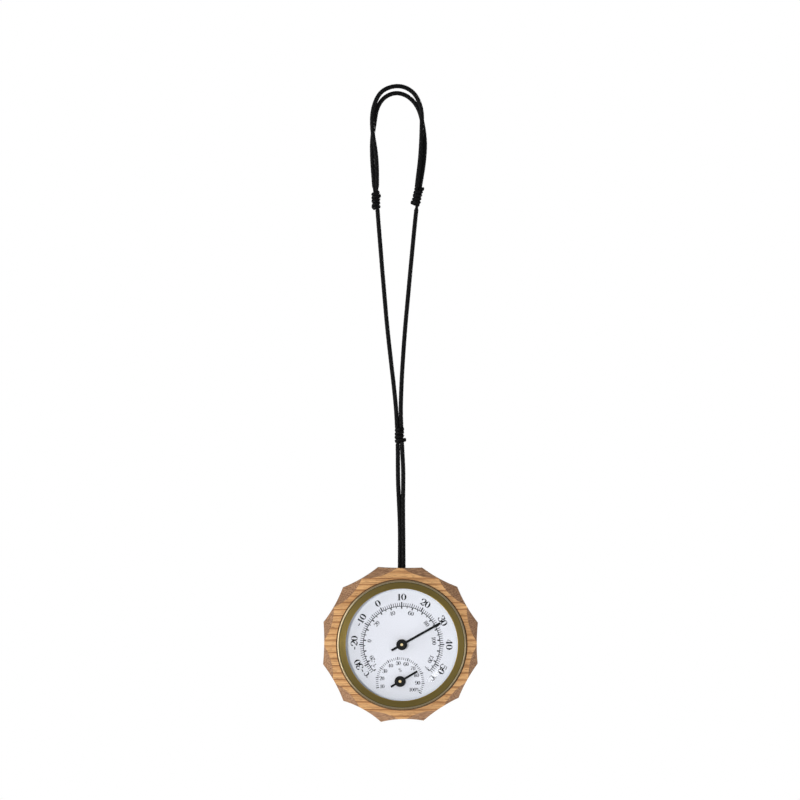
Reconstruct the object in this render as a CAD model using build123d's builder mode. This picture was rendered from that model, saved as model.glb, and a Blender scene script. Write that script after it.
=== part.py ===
from build123d import *
import math
import os

# A round thermometer and hygrometer insert in a hand-carved wooden body that
# hangs on a black waxed cord. Millimetres, +Z up, the dial faces -Y.
# The origin is the point of the hanging loop that a hook carries.

# Overall places
dial_x = 2.35            # the dial's axis, to the right of the hook
dial_z = -274.15         # and below it
wood_front = -14.0       # the cord hangs in the plane y = 0
wood_back = 8.0
cord_d = 2.0

# Carved body: each corner's direction and reach, seen from the dial's axis,
# the reach of the scoop on its front edge and of the hollow before the next one
corners = (
    (16, 39.6, 35.0, 37.7),
    (46, 40.0, 34.8, 37.9),
    (75, 39.7, 35.5, 38.2),
    (107, 40.4, 35.9, 38.6),
    (136, 40.9, 35.4, 38.8),
    (164, 40.6, 36.4, 38.7),
    (194, 40.5, 36.2, 38.3),
    (224, 40.5, 35.7, 37.5),
    (255, 40.0, 35.3, 37.1),
    (286, 39.5, 35.2, 37.0),
    (317, 38.9, 35.1, 37.1),
    (346, 39.1, 35.2, 37.5),
)
scoop_radius = 40.0
scoop_tilt = 45.0
back_chamfer = 1.2
recess_r = 30.5
recess_floor = 4.0
recess_chamfer = 0.3
vent_r = 8.0
cord_hole_r = 2.2

# Insert: a spun bezel that holds the glass, the dial and the case together
bezel_r = 32.25
bezel_crown = -17.3
bezel_wall = 0.6
rim_w = 0.9              # the raised bright rim round the band
rim_drop = 0.55          # how far the rim rounds away outward
groove_w = 0.25          # between the rim and the band
lip_round = 0.3
lip_r = 28.0             # what the bezel leaves of the dial to see
lip_front = -16.15
lip_back = -15.65
skirt_out_r = 30.15
skirt_in_r = 29.35
crimp_front = -7.9
crimp_back = -7.4
crimp_r = 28.6
inner_r = 29.25          # every disc and ring inside the skirt
gasket_t = 0.3
glass_t = 1.0
gasket_set_back = 0.1    # the gasket's hole, from the lip's edge
dome_h = 1.4
dome_r = 27.9
dome_in_r = 27.4
spacer_r = 28.3
dial_front = -9.6
dial_t = 0.3
plate_t = 0.8
case_flange_t = 0.6
case_r = 28.4
case_wall = 0.8
case_back = -3.0
air_ring_r = 14.5        # the case's air holes, and its holes over the levers' ends
air_holes = 8
air_hole_r = 1.3
lever_hole_r = 1.8
lever_hole_z = {"temperature": 8.6, "humidity": -24.6}
band_front = -7.2
band_back = -4.2
band_core_r = 29.3
band_rib_r = 30.45
band_ribs = 3
rib_foot = 0.15          # flat before each rib, then its slope, its crown and its slope
rib_slope = 0.3
rib_crown = 0.2

# Movements: a hand on an arbor that a coiled strip turns
arbor_r = 0.70
bore_r = 0.75
arbor_rear = -3.95
shoulder_r = 1.6
bush_r = 1.5
bush_flange_r = 2.2
bush_flange_t = 0.4
bush_flare_r = 1.9
bush_flare_t = 0.35
lever_play = 0.1         # between the lever and the bush's flare
fit_gap = 0.02           # between pieces that are pressed together
turn_gap = 0.05          # between pieces that turn on each other
lever_front = -8.4
lever_back = -8.0
lever_eye_r = 2.9
lever_half_w = 1.2
stud_r = 0.45
coil_front = -7.2
coil_back = -5.2
strip_t = 0.3
coil_r0 = 2.0
coil_half_turns = 10
bridge_front = -4.7
bridge_t = 0.6
bridge_half_w = 2.0
bridge_leg_x = 9.0
bridge_foot_x = 12.8
rivet_x = 11.0
rivet_r = 0.8
rivet_head_r = 1.4
rivet_head_h = 0.5
hand_t = 0.3
hub_r = 2.75
hub_t = 0.5
hub_groove_r = 2.0
hub_groove_w = 0.25
hub_edge = 0.12
pin_proud = 0.15
pin_edge = 0.15
shoulder_over = 0.1      # how far the arbor's shoulder stands past the coil each way
hand_boss_inset = 0.3

# Each movement: its axis from the dial's, the back of its hand, the hand's
# reading angle clockwise from the top, tip and tail reach and blade width,
# the coil's pitch, and which way its lever points from +X
movements = {
    "temperature": dict(
        x=0.0, z=0.0, hand=-12.45, angle=60.8, tip=22.1, tail=5.9, blade=1.15, pitch=1.0, lever=90
    ),
    "humidity": dict(
        x=-0.85, z=-18.4, hand=-10.75, angle=59.6, tip=10.0, tail=5.3, blade=1.05, pitch=0.8, lever=-90
    ),
}

# Cord routes, from the stopper knot inside the body up to the far knot
cord_left_route = (
    (1.45, 0.6, -249.5),
    (1.45, 0.6, -243.0),
    (1.5, 0.6, -232.0),
    (1.56, 0.66, -222.0),
    (1.42, 0.68, -212.0),
    (0.95, 0.15, -202.0),
    (0.52, 0.0, -193.0),
    (0.45, 0.0, -184.0),
    (0.45, 0.0, -177.0),
    (0.15, 0.0, -168.0),
    (-0.3, 0.0, -158.5),
    (-0.95, 0.0, -151.0),
    (-2.25, 0.0, -139.0),
    (-4.7, -0.1, -118.0),
    (-6.7, -0.3, -95.0),
    (-8.9, -0.6, -68.0),
    (-10.2, -0.9, -51.0),
    (-9.92, -1.2, -39.0),
    (-10.52, -1.2, -28.0),
    (-12.5, -1.2, -17.0),
    (-12.4, -1.2, -7.0),
    (-9.0, -1.2, 1.6),
    (-3.0, -1.2, 4.9),
    (3.6, -1.2, 4.9),
    (9.4, -1.2, 1.0),
    (12.5, -1.2, -6.8),
    (12.4, -1.2, -15.0),
    (12.1, -1.2, -24.0),
    (11.4, -1.2, -33.5),
    (10.2, -1.0, -42.5),
    (9.3, -0.9, -51.0),
)
cord_right_route = (
    (3.25, -0.6, -249.5),
    (3.25, -0.6, -243.0),
    (3.2, -0.6, -232.0),
    (3.14, -0.66, -222.0),
    (3.02, -0.68, -212.0),
    (3.0, -0.15, -202.0),
    (3.12, 0.0, -193.0),
    (3.12, 0.0, -186.0),
    (2.72, 0.0, -178.5),
    (2.25, 0.0, -168.5),
    (1.88, 0.0, -159.0),
    (1.95, 0.0, -152.0),
    (2.4, 0.0, -140.5),
    (3.7, 0.1, -120.0),
    (5.8, 0.3, -97.0),
    (8.3, 0.6, -70.0),
    (10.0, 0.9, -53.5),
    (11.9, 1.2, -43.0),
    (13.5, 1.2, -33.0),
    (14.2, 1.2, -22.5),
    (12.6, 1.2, -12.0),
    (10.4, 1.2, -5.2),
    (5.9, 1.2, -0.1),
    (-0.3, 1.2, 2.0),
    (-6.5, 1.2, -0.4),
    (-10.1, 1.2, -5.9),
    (-11.2, 1.2, -13.0),
    (-12.5, 1.2, -21.5),
    (-12.45, 1.2, -31.0),
    (-11.72, 1.0, -41.0),
    (-11.0, 0.9, -50.0),
)

# Knots: middle, lean from upright in degrees, barrel radius and length
knots = {
    "knot_left": ((-10.55, 0.0, -52.1), 3, 2.1, 9.8),
    "knot_right": ((10.1, 0.0, -50.4), -12, 2.2, 10.0),
    "knot_center": ((1.2, 0.0, -170.1), 0, 2.3, 8.8),
    "knot_stopper": ((2.35, 0.4, -247.0), 0, 3.1, 6.0),
}
knot_round = 0.8


def facing(y, x=0.0, z=0.0, turn=0.0):
    """A plane at depth y that faces the reader, x and z from the dial's axis, its x turned from +X."""
    way = (math.cos(math.radians(turn)), 0, math.sin(math.radians(turn)))
    return Plane((dial_x + x, y, dial_z + z), x_dir=way, z_dir=(0, -1, 0))


def polar(angle, radius):
    """A point at a direction from +X and a reach."""
    return (radius * math.cos(math.radians(angle)), radius * math.sin(math.radians(angle)))


def lathe_plane(x=0.0, z=0.0):
    """The plane of a turned profile: its x is the radius and its y is depth."""
    return Plane((dial_x + x, 0, dial_z + z), x_dir=(1, 0, 0), z_dir=(0, 0, 1))


def lathe_axis(x=0.0, z=0.0):
    return Axis((dial_x + x, 0, dial_z + z), (0, 1, 0))


def ring(inner, outer, front, back, x=0.0, z=0.0):
    """A flat ring, or a disc where inner is 0, between two depths."""
    with BuildPart() as made:
        with BuildSketch(facing(back, x, z)):
            Circle(outer)
            if inner:
                Circle(inner, mode=Mode.SUBTRACT)
        extrude(amount=back - front)
    return made


def dome(radius, foot):
    """Half the section of a shallow dome of height dome_h, its foot at a depth."""
    ball = (radius**2 + dome_h**2) / (2 * dome_h)
    half = math.asin(radius / ball) / 2
    top = foot - dome_h
    ThreePointArc((0, top), (ball * math.sin(half), top + ball * (1 - math.cos(half))), (radius, foot))


def finish(piece, name):
    piece.part.label = name
    export_step(piece.part, f"parts/{name}.step")


os.makedirs("parts", exist_ok=True)

# ---- carved wooden body
with BuildPart() as wood_body:
    with BuildSketch(facing(wood_back)):
        with BuildLine():
            for i, (angle, reach, _, hollow) in enumerate(corners):
                next_angle, next_reach = corners[(i + 1) % len(corners)][:2]
                if next_angle < angle:
                    next_angle += 360
                ThreePointArc(
                    polar(angle, reach),
                    polar((angle + next_angle) / 2, hollow),
                    polar(next_angle, next_reach),
                )
        make_face()
    extrude(amount=wood_back - wood_front)
    chamfer(wood_body.faces().sort_by(Axis.Y)[-1].edges(), back_chamfer)
    for angle, _, scoop_reach, _ in corners:
        out_x, out_z = polar(angle, 1)
        tilt = math.radians(scoop_tilt)
        along = Vector(out_x * math.cos(tilt), math.sin(tilt), out_z * math.cos(tilt))
        away = Vector(out_x * math.sin(tilt), -math.cos(tilt), out_z * math.sin(tilt))
        edge = Vector(dial_x + out_x * scoop_reach, wood_front, dial_z + out_z * scoop_reach)
        with BuildSketch(Plane(edge + away * scoop_radius, z_dir=along)):
            Circle(scoop_radius)
        extrude(amount=scoop_radius, both=True, mode=Mode.SUBTRACT)
    with BuildSketch(facing(recess_floor)):
        Circle(recess_r)
    extrude(amount=recess_floor - wood_front, mode=Mode.SUBTRACT)
    mouth = wood_body.edges().filter_by(GeomType.CIRCLE).filter_by(
        lambda e: abs(e.radius - recess_r) < 0.01 and abs(e.center().Y - wood_front) < 0.01
    )
    chamfer(mouth, recess_chamfer)
    with BuildSketch(facing(wood_back)):
        Circle(vent_r)
    extrude(amount=wood_back - recess_floor, mode=Mode.SUBTRACT)
    with BuildSketch(Plane.XY.offset(dial_z)):
        with Locations((dial_x, 0)):
            Circle(cord_hole_r)
    extrude(amount=corners[0][1] + 5, mode=Mode.SUBTRACT)
finish(wood_body, "wood_body")

# ---- bezel: raised rim, sloping band, lip over the glass, skirt and rolled edge
rim_in = bezel_r - rim_w
rim_foot = bezel_crown + rim_drop
with BuildPart() as bezel:
    with BuildSketch(lathe_plane()):
        with BuildLine():
            Line((bezel_r, wood_front), (bezel_r, rim_foot))
            ThreePointArc(
                (bezel_r, rim_foot),
                (bezel_r - rim_w * 0.35, bezel_crown + rim_drop * 0.3),
                (rim_in, bezel_crown),
            )
            Polyline(
                (rim_in, bezel_crown),
                (rim_in, rim_foot),
                (rim_in - groove_w, rim_foot),
                (lip_r + lip_round, lip_front),
            )
            ThreePointArc(
                (lip_r + lip_round, lip_front),
                (lip_r + lip_round * 0.25, lip_front + lip_round * 0.25),
                (lip_r, lip_front + lip_round),
            )
            Polyline(
                (lip_r, lip_front + lip_round),
                (lip_r, lip_back),
                (skirt_in_r, lip_back),
                (skirt_in_r, crimp_front),
                (crimp_r, crimp_front),
                (crimp_r, crimp_back),
                (skirt_out_r, crimp_back),
                (skirt_out_r, lip_back),
                (bezel_r - bezel_wall, lip_back - bezel_wall / 2),
                (bezel_r - bezel_wall, wood_front),
                (bezel_r, wood_front),
            )
        make_face()
    revolve(axis=lathe_axis())
finish(bezel, "bezel")

# ---- glass, its gasket, and the ring that keeps the dial below it
glass_front = lip_back + gasket_t
glass_back = glass_front + glass_t
finish(ring(lip_r + gasket_set_back, inner_r, lip_back, glass_front), "lens_gasket")
with BuildPart() as lens:
    with BuildSketch(lathe_plane()):
        with BuildLine():
            dome(dome_r, glass_front)
            Polyline(
                (dome_r, glass_front),
                (inner_r, glass_front),
                (inner_r, glass_back),
                (dome_in_r, glass_back),
            )
            dome(dome_in_r, glass_back)
            Line((0, glass_back - dome_h), (0, glass_front - dome_h))
        make_face()
    revolve(axis=lathe_axis())
finish(lens, "lens")
finish(ring(spacer_r, inner_r, glass_back, dial_front), "dial_spacer")

# ---- printed dial and the plate behind it that carries both movements
dial_back = dial_front + dial_t
plate_back = dial_back + plate_t
with BuildPart() as dial_plate:
    with BuildSketch(facing(dial_back)):
        Circle(inner_r)
        for m in movements.values():
            with Locations((m["x"], m["z"])):
                Circle(bush_r + fit_gap, mode=Mode.SUBTRACT)
    extrude(amount=dial_t)
finish(dial_plate, "dial_plate")
with BuildPart() as movement_plate:
    with BuildSketch(facing(plate_back)):
        Circle(inner_r)
        for m in movements.values():
            with Locations((m["x"], m["z"])):
                Circle(bush_r + fit_gap, mode=Mode.SUBTRACT)
                with GridLocations(2 * rivet_x, 0, 2, 1):
                    Circle(rivet_r + fit_gap, mode=Mode.SUBTRACT)
    extrude(amount=plate_t)
finish(movement_plate, "movement_plate")

# ---- case behind the plate, with air holes and a hole over each lever's end
case_front = plate_back
case_in = case_r - case_wall
with BuildPart() as case_cup:
    with BuildSketch(lathe_plane()):
        with BuildLine():
            Polyline(
                (0, case_back),
                (case_r, case_back),
                (case_r, case_front + case_flange_t),
                (inner_r, case_front + case_flange_t),
                (inner_r, case_front),
                (case_in, case_front),
                (case_in, case_back - case_wall),
                (0, case_back - case_wall),
                (0, case_back),
            )
        make_face()
    revolve(axis=lathe_axis())
    with BuildSketch(facing(case_back)):
        with PolarLocations(air_ring_r, air_holes, start_angle=180 / air_holes):
            Circle(air_hole_r)
        for kind, height in lever_hole_z.items():
            with Locations((movements[kind]["x"], height)):
                Circle(lever_hole_r)
    extrude(amount=2 * case_wall, mode=Mode.SUBTRACT)
finish(case_cup, "case_cup")

# ---- rubber band that grips the recess
with BuildPart() as fit_band:
    with BuildSketch(lathe_plane()):
        pitch = (band_back - band_front) / band_ribs
        with BuildLine():
            edge = [(case_r + fit_gap, band_front), (band_core_r, band_front)]
            for i in range(band_ribs):
                rise = band_front + i * pitch + rib_foot
                crest = rise + rib_slope
                edge.append((band_core_r, rise))
                edge.append((band_rib_r, crest))
                edge.append((band_rib_r, crest + rib_crown))
                edge.append((band_core_r, crest + rib_crown + rib_slope))
            edge += [(band_core_r, band_back), (case_r + fit_gap, band_back)]
            Polyline(*edge, close=True)
        make_face()
    revolve(axis=lathe_axis())
finish(fit_band, "fit_band")


def spiral_edge(start, pitch, count):
    """Half circles that wind outward by half the pitch each, from (start, 0)."""
    for k in range(count):
        side = 1 if k % 2 == 0 else -1
        here = start + k * pitch / 2
        there = here + pitch / 2
        ThreePointArc(
            (side * here, 0),
            (side * (here - there) / 2, side * (here + there) / 2),
            (-side * there, 0),
        )


def turned(points, x, z):
    """A turned piece from its profile of (radius, depth) points."""
    with BuildPart() as made:
        with BuildSketch(lathe_plane(x, z)):
            with BuildLine():
                Polyline(*points, close=True)
            make_face()
        revolve(axis=lathe_axis(x, z))
    return made


# ---- the two movements
for kind, m in movements.items():
    x, z = m["x"], m["z"]
    hand_front = m["hand"] - hand_t
    hub_front = hand_front - hub_t

    # bush pressed through the dial and the plate, flared behind the lever
    flare_front = lever_back + lever_play
    bush = turned(
        (
            (bore_r, dial_front - bush_flange_t),
            (bush_flange_r, dial_front - bush_flange_t),
            (bush_flange_r, dial_front),
            (bush_r, dial_front),
            (bush_r, flare_front),
            (bush_flare_r, flare_front),
            (bush_flare_r, flare_front + bush_flare_t),
            (bore_r, flare_front + bush_flare_t),
        ),
        x,
        z,
    )
    finish(bush, f"{kind}_bush")

    # arbor with the shoulder that takes the coil's inner end
    arbor = turned(
        (
            (0, hub_front - pin_proud),
            (arbor_r - pin_edge, hub_front - pin_proud),
            (arbor_r, hub_front - pin_proud + pin_edge),
            (arbor_r, coil_front - shoulder_over),
            (shoulder_r, coil_front - shoulder_over),
            (shoulder_r, coil_back + shoulder_over),
            (arbor_r, coil_back + shoulder_over),
            (arbor_r, arbor_rear),
            (0, arbor_rear),
        ),
        x,
        z,
    )
    finish(arbor, f"{kind}_arbor")

    # lever that turns stiffly on the bush and carries the coil's outer stud
    stud_at = coil_r0 + coil_half_turns * m["pitch"] / 2 + strip_t / 2 + fit_gap + stud_r
    with BuildPart() as lever:
        with BuildSketch(facing(lever_back, x, z, m["lever"])):
            Circle(lever_eye_r)
            with Locations((stud_at / 2, 0)):
                Rectangle(stud_at, 2 * lever_half_w)
            with Locations((stud_at, 0)):
                Circle(lever_half_w)
            Circle(bush_r + turn_gap, mode=Mode.SUBTRACT)
        extrude(amount=lever_back - lever_front)
        with BuildSketch(facing(coil_back, x, z, m["lever"])):
            with Locations((stud_at, 0)):
                Circle(stud_r)
        extrude(amount=coil_back - lever_back)
    finish(lever, f"{kind}_lever")

    # coiled strip
    with BuildPart() as coil:
        with BuildSketch(facing(coil_back, x, z, m["lever"])):
            with BuildLine():
                inner = coil_r0 - strip_t / 2
                outer = coil_r0 + strip_t / 2
                growth = coil_half_turns * m["pitch"] / 2
                spiral_edge(inner, m["pitch"], coil_half_turns)
                spiral_edge(outer, m["pitch"], coil_half_turns)
                Line((inner, 0), (outer, 0))
                Line((inner + growth, 0), (outer + growth, 0))
            make_face()
        extrude(amount=coil_back - coil_front)
    finish(coil, f"{kind}_coil")

    # bridge over the coil, with the arbor's rear bearing
    with BuildPart() as bridge:
        with BuildSketch(lathe_plane(x, z - bridge_half_w)):
            with BuildLine():
                back = bridge_front + bridge_t
                leg = bridge_leg_x
                Polyline(
                    (-bridge_foot_x, plate_back),
                    (-leg, plate_back),
                    (-leg, bridge_front),
                    (leg, bridge_front),
                    (leg, plate_back),
                    (bridge_foot_x, plate_back),
                    (bridge_foot_x, plate_back + bridge_t),
                    (leg + bridge_t, plate_back + bridge_t),
                    (leg + bridge_t, back),
                    (-leg - bridge_t, back),
                    (-leg - bridge_t, plate_back + bridge_t),
                    (-bridge_foot_x, plate_back + bridge_t),
                    close=True,
                )
            make_face()
        extrude(amount=2 * bridge_half_w)
        with BuildSketch(facing(back, x, z)):
            Circle(bore_r)
        extrude(amount=bridge_t, mode=Mode.SUBTRACT)
        with BuildSketch(facing(plate_back + bridge_t, x, z)):
            with GridLocations(2 * rivet_x, 0, 2, 1):
                Circle(rivet_r + fit_gap)
        extrude(amount=bridge_t, mode=Mode.SUBTRACT)
    finish(bridge, f"{kind}_bridge")

    # hand: a blunt blade with a round boss
    with BuildPart() as hand:
        with BuildSketch(facing(m["hand"], x, z, 90 - m["angle"])):
            with Locations(((m["tip"] - m["tail"]) / 2, 0)):
                Rectangle(m["tip"] + m["tail"], m["blade"])
            Circle(hub_r - hand_boss_inset)
            Circle(arbor_r + fit_gap, mode=Mode.SUBTRACT)
        extrude(amount=hand_t)
    finish(hand, f"{kind}_hand")

    # hub: a small turned button with a groove round its middle
    hub = turned(
        (
            (arbor_r + fit_gap, hand_front),
            (hub_r, hand_front),
            (hub_r, hub_front + hub_edge),
            (hub_r - hub_edge, hub_front),
            (hub_groove_r + hub_groove_w, hub_front),
            (hub_groove_r + hub_groove_w, hub_front + hub_edge),
            (hub_groove_r, hub_front + hub_edge),
            (hub_groove_r, hub_front),
            (arbor_r + fit_gap, hub_front),
        ),
        x,
        z,
    )
    finish(hub, f"{kind}_hub")

# ---- rivets that hold both bridges to the plate
with BuildPart() as bridge_rivets:
    for m in movements.values():
        head = plate_back + bridge_t
        with BuildSketch(facing(head, m["x"], m["z"])):
            with GridLocations(2 * rivet_x, 0, 2, 1):
                Circle(rivet_r)
        extrude(amount=head - dial_back - fit_gap)
        with BuildSketch(facing(head + rivet_head_h, m["x"], m["z"])):
            with GridLocations(2 * rivet_x, 0, 2, 1):
                Circle(rivet_head_r)
        extrude(amount=rivet_head_h)
finish(bridge_rivets, "bridge_rivets")


def corner_radii(points):
    """The largest arc at each corner of a route that its two runs allow."""
    radii = []
    spots = [Vector(*p) for p in points]
    for before, here, after in zip(spots, spots[1:], spots[2:]):
        run_in = here - before
        run_out = after - here
        turn = math.radians(run_in.get_angle(run_out))
        radii.append(0.45 * min(run_in.length, run_out.length) / math.tan(turn / 2))
    return radii


# ---- the two cords
for name, route in (("cord_left", cord_left_route), ("cord_right", cord_right_route)):
    radii = corner_radii(route)
    with BuildPart() as cord:
        with BuildLine() as path:
            FilletPolyline(*route, radius=radii)
        start = path.line @ 0
        with BuildSketch(Plane(start, z_dir=path.line % 0)):
            Circle(cord_d / 2)
        sweep(path=path.line)
    finish(cord, name)
    length = path.wire().length
    expected = math.pi * cord_d**2 / 4 * length
    print(name, "length", round(length, 1), "mm, volume ratio", round(cord.part.volume / expected, 4))
    print("  tightest arcs", [round(r, 1) for r in sorted(radii)[:8]])

# ---- knots
for name, (middle, lean, radius, length) in knots.items():
    tilt = math.radians(lean)
    upward = Vector(-math.sin(tilt), 0, math.cos(tilt))
    base = Vector(*middle) - upward * (length / 2)
    with BuildPart() as knot:
        with BuildSketch(Plane(base, z_dir=upward)):
            Circle(radius)
        extrude(amount=length)
        fillet(knot.edges().filter_by(GeomType.CIRCLE), knot_round)
    finish(knot, name)
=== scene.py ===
import math
import bmesh
import bpy
from mathutils import Matrix, Quaternion, Vector


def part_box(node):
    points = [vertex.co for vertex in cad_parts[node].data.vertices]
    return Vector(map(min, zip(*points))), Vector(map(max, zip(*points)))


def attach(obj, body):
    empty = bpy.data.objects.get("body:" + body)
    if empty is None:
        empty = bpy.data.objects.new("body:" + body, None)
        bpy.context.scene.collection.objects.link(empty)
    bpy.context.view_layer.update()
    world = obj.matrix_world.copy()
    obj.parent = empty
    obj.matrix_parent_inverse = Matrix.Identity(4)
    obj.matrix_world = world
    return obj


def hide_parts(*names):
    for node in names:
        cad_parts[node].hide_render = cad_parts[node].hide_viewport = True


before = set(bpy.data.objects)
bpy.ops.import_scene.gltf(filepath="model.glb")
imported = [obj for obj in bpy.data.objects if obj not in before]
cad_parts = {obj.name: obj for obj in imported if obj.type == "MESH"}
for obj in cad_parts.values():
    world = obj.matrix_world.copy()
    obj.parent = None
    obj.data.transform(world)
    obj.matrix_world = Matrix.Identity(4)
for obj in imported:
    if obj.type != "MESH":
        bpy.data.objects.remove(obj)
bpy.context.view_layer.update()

mm = 0.001


# places read from the frame
def middleOf(node):
    low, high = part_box(node)
    return (low + high) / 2


dialMiddle = middleOf("bezel")
dialAxis = Vector((dialMiddle.x, 0, dialMiddle.z))
humidityMiddle = middleOf("humidity_hub")
humidityAxis = Vector((humidityMiddle.x, 0, humidityMiddle.z))
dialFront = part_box("dial_plate")[0].y
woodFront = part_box("wood_body")[0].y


# camera, floor, backdrop and lamps
cameraLook = {"distance": 8.0, "width": 0.4, "aim": (0.0015, 0, -0.152), "sensor": 36.0}
floorLook = {
    "z": -0.45, "radius": 1.2, "fadeFrom": 0.55, "fadeTo": 1.1,
    "colour": (0.93, 0.93, 0.93, 1), "rough": 0.7, "glow": 0.60,
}
roomLook = {"backdrop": (1, 1, 1, 1), "ambient": (0.80, 0.82, 0.86, 1), "ambientStrength": 0.26}
lamps = {
    "keyLamp": {"place": (-0.42, -2.0, -0.25), "size": (0.16, 0.16), "power": 27, "mirrored": False},
    "leftLamp": {"place": (-1.25, -0.70, -0.30), "size": (0.7, 2.0), "power": 9.2, "mirrored": True},
    "topLamp": {"place": (-0.45, -1.0, 0.75), "size": (0.8, 0.8), "power": 2.5, "mirrored": False},
    "lowLamp": {"place": (0.75, -1.1, -0.42), "size": (0.25, 0.25), "power": 1.0, "mirrored": True},
    "glintLamp": {
        "place": (0.27, -2.0, -0.54), "size": (0.02, 0.16), "power": 0.04, "mirrored": True, "roll": -45,
    },
    "backLamp": {"place": (0.7, 1.5, 0.35), "size": (1.0, 1.0), "power": 16, "mirrored": True},
}


def setCamera():
    data = bpy.data.cameras.new("camera")
    data.sensor_width = cameraLook["sensor"]
    data.lens = cameraLook["sensor"] * cameraLook["distance"] / cameraLook["width"]
    camera = bpy.data.objects.new("camera", data)
    bpy.context.scene.collection.objects.link(camera)
    camera.location = Vector(cameraLook["aim"]) - Vector((0, cameraLook["distance"], 0))
    camera.rotation_euler = (math.radians(90), 0, 0)
    bpy.context.scene.camera = camera


def setLamps():
    for name, lamp in lamps.items():
        data = bpy.data.lights.new(name, "AREA")
        data.shape = "ELLIPSE"
        data.size, data.size_y = lamp["size"]
        data.energy = lamp["power"]
        light = bpy.data.objects.new(name, data)
        bpy.context.scene.collection.objects.link(light)
        light.location = lamp["place"]
        aim = dialAxis - Vector(lamp["place"])
        roll = Quaternion((0, 0, 1), math.radians(lamp.get("roll", 0)))
        light.rotation_euler = (aim.to_track_quat("-Z", "Y") @ roll).to_euler()
        light.visible_glossy = lamp["mirrored"]


# short ways to lay nodes
def feed(tree, socket, value):
    if isinstance(value, bpy.types.NodeSocket):
        tree.links.new(value, socket)
    else:
        socket.default_value = value


def addNode(tree, kind, inputs=None, **settings):
    node = tree.nodes.new("ShaderNode" + kind)
    for name, value in settings.items():
        setattr(node, name, value)
    for name, value in (inputs or {}).items():
        feed(tree, node.inputs[name], value)
    return node


def sums(tree, operation, first, second=0.0):
    return addNode(tree, "Math", {0: first, 1: second}, operation=operation).outputs[0]


def blendColours(tree, amount, under, over):
    node = addNode(tree, "Mix", data_type="RGBA", clamp_factor=True)
    feed(tree, node.inputs["Factor"], amount)
    feed(tree, node.inputs[6], under)
    feed(tree, node.inputs[7], over)
    return node.outputs[2]


def ramp(tree, amount, stops):
    node = addNode(tree, "ValToRGB", {"Fac": amount})
    while len(node.color_ramp.elements) < len(stops):
        node.color_ramp.elements.new(0.5)
    for element, (place, colour) in zip(node.color_ramp.elements, stops):
        element.position = place
        element.color = colour
    return node.outputs["Color"]


def spread(tree, amount, low, high, start=0.0, end=1.0):
    node = addNode(tree, "MapRange", {"Value": amount, "From Min": start, "From Max": end})
    feed(tree, node.inputs["To Min"], low)
    feed(tree, node.inputs["To Max"], high)
    return node.outputs[0]


def objectPlace(tree, centre=(0, 0, 0)):
    place = addNode(tree, "TexCoord").outputs["Object"]
    shift = tuple(-value for value in centre)
    return addNode(tree, "Mapping", {"Vector": place, "Location": shift}).outputs[0]


def stretched(tree, vector, scale, move=(0, 0, 0)):
    return addNode(tree, "Mapping", {"Vector": vector, "Scale": scale, "Location": move}).outputs[0]


def cloudy(tree, vector, scale=1.0, detail=2.0, rough=0.5):
    node = addNode(tree, "TexNoise", {"Vector": vector, "Scale": scale, "Detail": detail, "Roughness": rough})
    return node.outputs["Fac"]


def bump(tree, height, depth, strength):
    return addNode(tree, "Bump", {"Height": height, "Distance": depth, "Strength": strength}).outputs[0]


def newMaterial(name, sockets):
    material = bpy.data.materials.new(name)
    material.use_nodes = True
    tree = material.node_tree
    shader = tree.nodes["Principled BSDF"]
    for socket, value in sockets.items():
        shader.inputs[socket].default_value = value
    return material, tree, shader


def around(tree, centre):
    # direction round the axis, distance from it and depth, for patterns left by a lathe
    place = addNode(tree, "SeparateXYZ", {0: objectPlace(tree, centre)}).outputs
    turn = sums(tree, "ARCTAN2", place[2], place[0])
    squares = sums(tree, "ADD", sums(tree, "POWER", place[0], 2.0), sums(tree, "POWER", place[2], 2.0))
    return turn, sums(tree, "SQRT", squares), place[1]


# white to look at, dimmer as light
def setRoom():
    scene = bpy.context.scene
    scene.view_settings.view_transform = "Standard"
    world = bpy.data.worlds.new("room")
    scene.world = world
    world.use_nodes = True
    tree = world.node_tree
    seen = tree.nodes["Background"]
    seen.inputs["Color"].default_value = roomLook["backdrop"]
    room = addNode(tree, "Background", {"Color": roomLook["ambient"]})
    room.inputs["Strength"].default_value = roomLook["ambientStrength"]
    direct = addNode(tree, "LightPath").outputs["Is Camera Ray"]
    both = addNode(tree, "MixShader", {0: direct, 1: room.outputs[0], 2: seen.outputs[0]})
    tree.links.new(both.outputs[0], tree.nodes["World Output"].inputs["Surface"])


def layFloor():
    shape = bmesh.new()
    lift = Matrix.Translation((dialAxis.x, 0, floorLook["z"]))
    bmesh.ops.create_circle(shape, cap_ends=True, segments=96, radius=floorLook["radius"], matrix=lift)
    mesh = bpy.data.meshes.new("floor")
    shape.to_mesh(mesh)
    shape.free()
    floor = bpy.data.objects.new("floor", mesh)
    bpy.context.scene.collection.objects.link(floor)
    material, tree, shader = newMaterial("paleFloor", {"Roughness": floorLook["rough"]})
    shader.inputs["Base Color"].default_value = floorLook["colour"]
    shader.inputs["Emission Color"].default_value = floorLook["colour"]
    shader.inputs["Emission Strength"].default_value = floorLook["glow"]
    centre = addNode(tree, "SeparateXYZ", {0: objectPlace(tree, dialAxis)}).outputs
    squares = sums(tree, "ADD", sums(tree, "POWER", centre[0], 2.0), sums(tree, "POWER", centre[1], 2.0))
    reach = sums(tree, "SQRT", squares)
    fade = spread(tree, reach, 1.0, 0.0, floorLook["fadeFrom"], floorLook["fadeTo"])
    tree.links.new(fade, shader.inputs["Alpha"])
    mesh.materials.append(material)
    floor.visible_glossy = False


setCamera()
setLamps()
setRoom()
layFloor()
print("camera, lamps and floor are set")


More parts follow.
